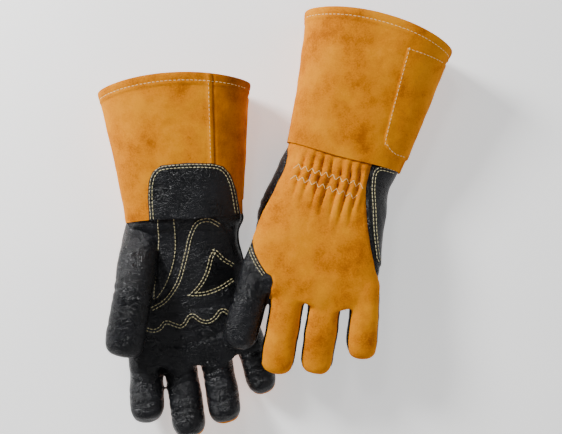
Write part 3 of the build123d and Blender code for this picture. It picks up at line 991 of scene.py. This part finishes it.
def thumb_piece(hand):
    table = np.array(hand.thumb, float)
    path, width, height = table[:, :3], table[:, 3], table[:, 4]
    lengths = np.concatenate([[0], np.cumsum(np.linalg.norm(np.diff(path, axis=0), axis=1))])
    keyed = np.column_stack([lengths, path, width, height])
    at = np.linspace(0, lengths[-1], 70)
    centre = np.stack([through(at, keyed, k) for k in (1, 2, 3)], 1)
    wide, high = through(at, keyed, 4), through(at, keyed, 5)
    forward = np.gradient(centre, axis=0)
    forward /= np.linalg.norm(forward, axis=1, keepdims=True)
    rings, shape = [], oval(48, 2.3)
    for k in range(len(at)):
        across = np.cross(forward[k], (0, 0, 1.0))
        across /= np.linalg.norm(across)
        up = np.cross(across, forward[k])
        left = lengths[-1] - at[k]
        blunt = 1 - ((THUMB_TIP - min(left, THUMB_TIP)) / THUMB_TIP) ** 2.6
        share = 0.30 + 0.70 * blunt ** 0.5
        if at[k] < 6:
            share *= 0.75 + 0.25 * at[k] / 6
        section = shape[:, :1] * wide[k] * across + shape[:, 1:] * high[k] * up
        rings.append(centre[k] + share * section)
    verts, tris = melt_together([rings_to_mesh(rings)], THUMB_VOXEL)
    verts = relax(verts, tris, THUMB_RELAX)
    a, b, c = verts[tris.T]
    if np.einsum("ij,ij->i", a, np.cross(b, c)).sum() < 0:
        tris = tris[:, ::-1]
    nearest = np.argmin(np.linalg.norm(verts[:, None] - centre[None], axis=2), axis=1)
    place = at[nearest] + np.einsum("ij,ij->i", verts - centre[nearest], forward[nearest])
    over_palm = -1.0 if hand.palm_up else 1.0
    facing = normals_of(verts, tris)
    inner = smoothstep(0.1, 0.8, facing[:, 2] * over_palm)
    joint = lengths[JOINT_ROW]
    swell = (0.75 * clouds(verts, 24.0, 11) + 0.35 * clouds(verts, 9.0, 12)) * (1 - inner)
    for offset, depth in THUMB_CREASES:
        crease = joint + offset
        wave = 1.8 * np.sin(verts[:, 0] * 0.2 + crease)
        swell -= depth * hill(place - crease + wave, 2.2) * (1 - inner)
    verts = verts + facing * swell[:, None]
    data = np.column_stack([verts, normals_of(verts, tris), place])
    thumb = f"{hand.side}_thumb"
    item = panel(hand, f"{thumb}_leather", BLACK, (data, tris), [(6, 1, THUMB_START)],
                 replaces=[f"{thumb}_base", f"{thumb}_inner_side", f"{thumb}_outer_side"])
    along = forward[np.argmin(np.abs(at - joint))]
    bend_over(hand, item, "thumb", path[JOINT_ROW], along, THUMB_BEND)


for hand in HANDS:
    thumb_piece(hand)
print("thumbs sewn")

# %% [markdown]
# ## The gauntlet cuffs
# A cuff is a wide tube of split cowhide: a palm panel, a narrow gusset and a back panel, sewn along
# their sides, with a hem folded over at the mouth. It starts as a grid round the tube, and is cut
# with the same knife as the hand.

# %% Cuff surface
MOUTH_S, LOWER_S = -132.0, 4.0
MOUTH_HALF, LOWER_HALF = (73.5, 42.0), (58.0, 30.0)
MOUTH_BOW = 10.0       # the mouth edge is further up in the middle than at the sides
CUFF_LIFT = 1.4        # the patch below holds the cuff this far off the table
HEM = 10.5
WRIST_PATCH = [(-31, 10), (-30, -18), (-27.5, -33), (-23, -42), (-14, -47.5), (10, -48), (34, -46),
               (44, -42.5), (50.5, -34), (54, -20), (56.5, 10)]
CUFF_PATCH = [(28, -109), (31, -24), (35, -15), (44, -10), (110, -10), (110, -109)]


def seam_x(s):
    """The seam between palm panel and gusset, from mouth to wrist."""
    return 41.0 - 8.0 * (s - MOUTH_S) / (LOWER_S - MOUTH_S)


def cuff_surface(hand):
    """The tube of a cuff with its hem and waves, and its pattern fields as further columns."""
    around, rows = 280, 96
    shape = oval(around, 2.4)
    share = np.linspace(0, 1, rows)
    grid_t = np.repeat(share, around)
    cx, cz = np.tile(shape[:, 0], rows), np.tile(shape[:, 1], rows)
    waist = 1 - 0.018 * np.sin(math.pi * grid_t)
    half_w = (MOUTH_HALF[0] + (LOWER_HALF[0] - MOUTH_HALF[0]) * grid_t) * waist
    half_h = MOUTH_HALF[1] + (LOWER_HALF[1] - MOUTH_HALF[1]) * grid_t
    x = half_w * cx + (1.5 * (1 - grid_t) if hand.palm_up else 0)
    top = MOUTH_S + MOUTH_BOW * (x / MOUTH_HALF[0]) ** 2
    bottom = LOWER_S + 0.9 * np.sin(x / 17.0 + (0 if hand.palm_up else 2))
    s = top + (bottom - top) * grid_t
    middle = half_h + CUFF_LIFT
    z = middle + half_h * cz
    verts = np.stack([x, s, z], 1)
    faces = []
    for i in range(rows - 1):
        for j in range(around):
            k = (j + 1) % around
            a, b = i * around, (i + 1) * around
            faces += [(a + j, a + k, b + k), (a + j, b + k, b + j)]
    tris = np.array(faces, dtype=np.int32)
    from_mouth = s - top
    palm = (z - middle) if hand.palm_up else (middle - z)
    gusset = x - seam_x(s)
    normal = normals_of(verts, tris)
    if np.einsum("ij,ij->i", normal, verts - [0, -60, 40]).mean() < 0:
        tris, normal = tris[:, ::-1], -normal
    seed = 21 if hand.palm_up else 27
    swell = 2.0 * clouds(verts * [1, 0.55, 1], 46.0, seed) + 0.7 * clouds(verts, 19.0, seed + 1)
    swell = (swell + 0.22 * clouds(verts, 7.0, seed + 2)) * smoothstep(0, 30, from_mouth + 12)
    swell = swell * (1 - 0.8 * smoothstep(-14, 4, s))
    hem = 1 - smoothstep(HEM - 0.7, HEM + 0.8, from_mouth)
    swell += 0.9 * hem * smoothstep(-1.0, 1.6, from_mouth)
    swell -= 0.5 * hill(from_mouth - HEM + 3.0, 1.3)
    side_seam = hill(palm, 1.6) * (1 - 0.5 * hem)
    swell -= 1.2 * side_seam
    clear = 1 - smoothstep(-1, 3, inside_distance(verts[:, :2], WRIST_PATCH))
    on_palm = smoothstep(0, 6, palm) * clear
    swell += on_palm * (hill(gusset + 2.4, 2.0) - 1.3 * hill(gusset - 0.8, 1.2))
    verts = verts + normal * swell[:, None]
    wrist = np.minimum(inside_distance(verts[:, :2], WRIST_PATCH), palm + 1.0)
    patch = np.minimum(inside_distance(verts[:, :2], CUFF_PATCH), -palm + 1.0)
    return np.column_stack([verts, normals_of(verts, tris), palm, gusset, wrist, patch]), tris


PALM_COLUMN, GUSSET_COLUMN, WRIST_COLUMN, PATCH_COLUMN = 6, 7, 8, 9
# Piece, leather, what is chosen of the cuff, thickness, lift, and the solid that it stands for
CUFF_PIECES = [
    ("cuff_palm_leather", GOLD, [(PALM_COLUMN, 1, 0.0), (GUSSET_COLUMN, -1, 0.0)],
     CUFF_LEATHER, None, "cuff_palm_panel"),
    # The gusset takes the darkened suede, which is painted shade.
    ("cuff_gusset_leather", GOLD_PAINTED_SHADE, [(PALM_COLUMN, 1, 0.0), (GUSSET_COLUMN, 1, 0.0)],
     CUFF_LEATHER, None, "cuff_gusset"),
    ("cuff_back_leather", GOLD, [(PALM_COLUMN, -1, 0.0)], CUFF_LEATHER, None, "cuff_back_panel"),
    ("wrist_patch_leather", BLACK_PATCH, [(WRIST_COLUMN, 1, 0.0)],
     CUFF_PATCH_LEATHER, (WRIST_COLUMN, 1.1), "wrist_patch"),
    ("cuff_patch_leather", GOLD, [(PATCH_COLUMN, 1, 0.0)],
     CUFF_PATCH_LEATHER, (PATCH_COLUMN, 0.9), "cuff_patch"),
]
for hand in HANDS:
    side, source = hand.side, cuff_surface(hand)
    for name, material, chosen, thickness, lift, solid in CUFF_PIECES:
        piece = panel(hand, f"{side}_{name}", material, source, chosen, thickness, lift,
                      [f"{side}_{solid}"])
        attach(piece, f"{side}_hand")
print("cuffs cut")

# %% [markdown]
# ## Lining and elastic
# Looking in at the mouth one sees the fleece lining of the hand. It is the relaxed skin again, a
# few millimetres further in. The elastic tape lies between leather and fleece at the wrist.

# %% Fleece and tape
ELASTIC = fleece("knitted_elastic", "#E4E1D8", "#B9B5A8")
LINING_DEPTH, TAPE_DEPTH = 3.6, 2.2      # below the outer face of the leather, in millimetres
BACK_COLUMN = 7
for hand in HANDS:
    side = hand.side
    verts, tris = SKINS[side]
    normal = normals_of(verts, tris)
    hand_field = SHAPED[side][0][:, HAND_FIELD]
    back = SHAPED[side][0][:, SHAPED[side][2]["back"]]
    inner = relax(verts - normal * LINING_DEPTH, tris, 4)
    data = np.column_stack([inner, normals_of(inner, tris), hand_field])
    lining = panel(hand, f"{side}_fleece_lining", FLEECE, (data, tris),
                   [(HAND_FIELD, 1, 2.0), (S_COLUMN, 1, -13.0)], 1.2, None, [f"{side}_lining"])
    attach(lining, f"{side}_hand")
    data = np.column_stack([verts - normal * TAPE_DEPTH, normal, hand_field, back])
    tape = panel(hand, f"{side}_elastic_band", ELASTIC, (data, tris),
                 [(X_COLUMN, 1, -38.0), (X_COLUMN, -1, 24.0), (S_COLUMN, 1, 26.0),
                  (S_COLUMN, -1, 34.0), (BACK_COLUMN, 1, 4.0)],
                 0.7, None, [f"{side}_wrist_elastic"])
    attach(tape, f"{side}_hand")
print("linings and tapes in place")

# %% [markdown]
# ## Stitches
# A row of stitches is a curve laid on the leather and one thread dash repeated along it. The
# node tree below does the repeating: Curve to Points sets the spacing, Instance on Points places a
# stretched sphere on every point, and Realize Instances makes plain mesh of it all.


# %% Stitch node tree
WOBBLE = 0.09          # radians, how far a stitch may turn off its row


def stitch_tree():
    """The node tree, and the identifier of each of its named inputs."""
    tree = bpy.data.node_groups.new("stitch_row", "GeometryNodeTree")
    face = tree.interface
    sockets = {}
    for name, kind in (("Geometry", "Geometry"), ("Spacing", "Float"), ("Length", "Float"),
                       ("Thickness", "Float"), ("Thread", "Material")):
        sockets[name] = face.new_socket(name, in_out="INPUT", socket_type="NodeSocket" + kind)
    face.new_socket("Geometry", in_out="OUTPUT", socket_type="NodeSocketGeometry")
    given = node(tree, "NodeGroupInput").outputs
    points = node(tree, "GeometryNodeCurveToPoints", mode="LENGTH",
                  links={"Curve": given["Geometry"], "Length": given["Spacing"]}).outputs
    aim = node(tree, "FunctionNodeAlignRotationToVector", axis="Z",
               links={"Vector": points["Tangent"]})
    wobble = node(tree, "FunctionNodeRandomValue", data_type="FLOAT_VECTOR")
    set_inputs(wobble, {"Seed": 5, 0: (-WOBBLE, -WOBBLE, 0.0), 1: (WOBBLE, WOBBLE, 0.0)})
    turned = node(tree, "FunctionNodeRotateRotation", rotation_space="LOCAL",
                  links={"Rotation": aim.outputs[0], "Rotate By": wobble.outputs[0]})
    size = node(tree, "ShaderNodeCombineXYZ",
                links={"X": given["Thickness"], "Y": given["Thickness"], "Z": given["Length"]})
    dash = node(tree, "GeometryNodeMeshUVSphere", {"Segments": 8, "Rings": 6, "Radius": 0.5})
    placed = node(tree, "GeometryNodeInstanceOnPoints", links={
        "Points": points["Points"], "Instance": dash.outputs["Mesh"],
        "Rotation": turned.outputs[0], "Scale": size.outputs[0]})
    plain = node(tree, "GeometryNodeRealizeInstances", links={"Geometry": placed.outputs[0]})
    smooth = node(tree, "GeometryNodeSetShadeSmooth", links={"Geometry": plain.outputs[0]})
    dressed = node(tree, "GeometryNodeSetMaterial",
                   links={"Geometry": smooth.outputs[0], "Material": given["Thread"]})
    node(tree, "NodeGroupOutput", links={0: dressed.outputs[0]})
    return tree, {name: socket.identifier for name, socket in sockets.items()}


STITCHES, STITCH_INPUTS = stitch_tree()


def sew(name, rows, thread, body, slot, spacing=3.6, length=3.0, thickness=0.75):
    """Turns rows of world points into one mesh of thread dashes that rides on a body."""
    curve = bpy.data.curves.new(name, "CURVE")
    curve.dimensions = "3D"
    for row in rows:
        spline = curve.splines.new("POLY")
        spline.points.add(len(row) - 1)
        for point, place in zip(spline.points, row):
            point.co = (*place, 1.0)
    item = add_object(name + "_rows", curve)
    repeat = item.modifiers.new("stitch_row", "NODES")
    repeat.node_group = STITCHES
    for name_of, value in (("Spacing", spacing * MM), ("Length", length * MM),
                           ("Thickness", thickness * MM), ("Thread", thread)):
        repeat[STITCH_INPUTS[name_of]] = value
    graph = bpy.context.evaluated_depsgraph_get()
    mesh = bpy.data.meshes.new_from_object(item.evaluated_get(graph))
    bpy.data.objects.remove(item)
    if not mesh.materials:
        mesh.materials.append(thread)
    sewn = add_object(name, mesh)
    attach(sewn, body)


print("stitch tree inputs:", ", ".join(STITCH_INPUTS))

# %% [markdown]
# ### Rows on the leather
# The rows are drawn on the flat pattern, beside the edges of the patches, and dropped on the
# finished leather from above or below. So they follow every fold that lies under them.


# %% Laying rows on the leather
SKY_Z, UNDER_Z = 160.0, -60.0      # rays start at these heights, in millimetres
ROW_STEP = 1.0                     # millimetres from one point of a row to the next


def surface_of(names):
    """One search tree over several leather pieces."""
    verts, faces, start = [], [], 0
    for name in names:
        points, tris = arrays_of(bpy.data.objects[name].data)
        verts.append(points)
        faces.append(tris + start)
        start += len(points)
    return BVHTree.FromPolygons(np.concatenate(verts).tolist(), np.concatenate(faces).tolist())


def lay(hand, surface, line, on_top, sink=0.0):
    """A pattern line dropped on the leather from above or below, as world points."""
    line = np.array(line, float)
    step = np.concatenate([[0], np.cumsum(np.hypot(*np.diff(line, axis=0).T))])
    at = np.arange(0, step[-1], ROW_STEP)
    x, s = np.interp(at, step, line[:, 0]), np.interp(at, step, line[:, 1])
    start_z, ray = (SKY_Z, Vector((0, 0, -1))) if on_top else (UNDER_Z, Vector((0, 0, 1)))
    points = []
    for origin in hand.to_world(np.stack([x, s, np.full(len(x), start_z)], 1)):
        hit, facing, _, _ = surface.ray_cast(Vector(origin), ray)
        if hit is None:
            continue
        if facing.dot(ray) > 0:
            facing = -facing
        points.append(np.array(hit + facing * sink * MM))
    points = np.array(points)
    if len(points) > 5:
        points[1:-1, 2] = (points[:-2, 2] + points[1:-1, 2] + points[2:, 2]) / 3
    return points


def double(line, sign, first=1.5, gap=2.9, outline=None):
    """Two rows inside a line; where an outline is given, they stop where they come too near it."""
    rows = []
    for away in (first, first + gap):
        row = beside(rounded(line), sign * away)
        if outline is not None:
            row = row[inside_distance(row, outline) > away - 0.35]
        rows.append(row)
    return rows


def zigzag(s_left, s_right, x_low, x_high, pitch=3.4, swing=2.3):
    """Corner points of an elastic stitch across the wrist."""
    xs = np.arange(x_low, x_high, pitch)
    middle = s_left + (s_right - s_left) * (xs - x_low) / (x_high - x_low)
    return np.stack([xs, middle + swing * (-1.0) ** np.arange(len(xs))], 1)


PALM_ROWS = (
    double(SWOOP, -1) + double(WAVE, -1) + double(FIN_LOW, -1, outline=FIN_PATCH)
    + double(FIN_BASE, -1, outline=FIN_PATCH) + double(FIN_TOP, 1, outline=FIN_PATCH)
    + [beside(rounded(THUMB_STRAP[0:6]), -1.5), beside(rounded(THUMB_STRAP[11:5:-1]), 1.5)])
BACK_ROWS = (
    double([(-67, 102.5), (-58.6, 115), (-50, 124), (-43.5, 129.5)], 1, 1.8, 2.6)
    + double([(56, 92), (53, 88), (44, 66), (37, 44), (31.5, 26), (29.5, 12), (31.5, 6), (37, 2.5),
              (50, 1.5)], 1, 1.6, 2.6))
HEM_ROW = [(x, MOUTH_S + MOUTH_BOW * (x / 75.0) ** 2 + HEM - 3.0) for x in np.linspace(-70, 70, 60)]
CORNER_ROW = rounded([(30, -107.5), (32.8, -26), (36.2, -17.5), (45, -12.2), (56, -12)])
TOP_ROW = [(30, -107.5), (66, -107.5)]
SEAM_ROW = [(seam_x(s) - 3.2, s) for s in np.linspace(MOUTH_S + 13, -52, 40)]
WRIST_ROWS = double(WRIST_PATCH[:-1] + [(56, 4)], 1, 1.7, 2.7)
GATHER_ROWS = [zigzag(24.5, 26.5, -44, 25), zigzag(35.5, 39.0, -44, 24)]

HAND_PARTS = ("palm_leather", "back_leather", "palm_swoop", "palm_fin", "edge_wrap",
              "thumb_strap_leather")
for hand in HANDS:
    side, up = hand.side, hand.palm_up
    body = f"{side}_hand"
    on_hand = surface_of([f"{side}_{part}" for part in HAND_PARTS])
    on_cuff = surface_of([f"{side}_{piece[0]}" for piece in CUFF_PIECES])
    black_rows = [lay(hand, on_hand, row, up) for row in PALM_ROWS]
    black_rows += [lay(hand, on_hand, row, not up) for row in BACK_ROWS]
    black_rows += [lay(hand, on_cuff, [p for p in row if p[1] < 3.0], up) for row in WRIST_ROWS]
    gather_rows = [lay(hand, on_hand, row, not up, 0.1) for row in GATHER_ROWS]
    cuff_rows = [lay(hand, on_cuff, HEM_ROW, True), lay(hand, on_cuff, HEM_ROW, False),
                 lay(hand, on_cuff, CORNER_ROW, not up), lay(hand, on_cuff, TOP_ROW, not up)]
    seam_rows = [lay(hand, on_cuff, SEAM_ROW, up)]
    sew(f"{side}_black_stitches", [row for row in black_rows if len(row) > 3], THREAD, body,
        "black_grain_leather")
    # Name, rows, then spacing, length and thickness of a stitch in millimetres
    for name, rows, measures in (("gather", gather_rows, (2.0, 2.4, 0.6)),
                                 ("cuff", cuff_rows, (3.9, 3.0, 0.7)),
                                 ("gusset", seam_rows, (3.9, 2.6, 0.5))):
        sew(f"{side}_{name}_stitches", rows, THREAD_GOLD, body, "gold_split_leather", *measures)
